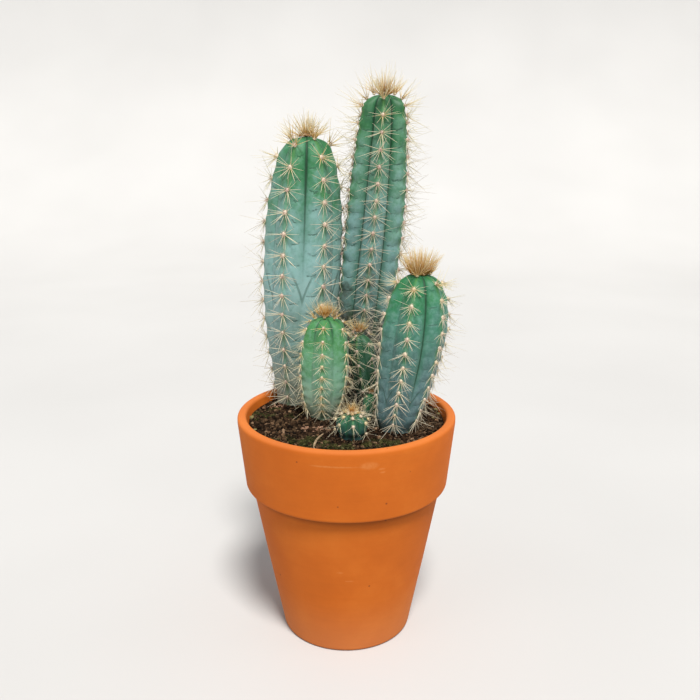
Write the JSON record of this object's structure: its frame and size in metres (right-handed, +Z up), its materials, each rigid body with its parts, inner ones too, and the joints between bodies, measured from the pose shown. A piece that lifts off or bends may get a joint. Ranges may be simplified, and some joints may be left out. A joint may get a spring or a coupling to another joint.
{
  "type": "potted cactus",
  "caption": "Clump of ribbed, spiny columnar cacti with young offsets, standing in soil in a terracotta pot with a collared rim.",
  "frame": {"origin": "centre of the pot's foot, on the surface it stands on", "axes": "+Z up along the pot's axis; -Y is the plant's front, where the small offset stands"},
  "size_m": [0.147, 0.1447, 0.3629],
  "materials": {
    "terracotta": "matte unglazed",
    "soil": "rough crumbly",
    "stem": "waxy satin"
  },
  "bodies": {
    "root": {"pot": "terracotta", "soil": "soil", "stem_left_tall": "stem", "stem_back_tall": "stem", "stem_right": "stem", "stem_front_left": "stem", "stem_middle": "stem", "offset_front": "stem", "offset_middle": "stem"}
  },
  "joints": []
}
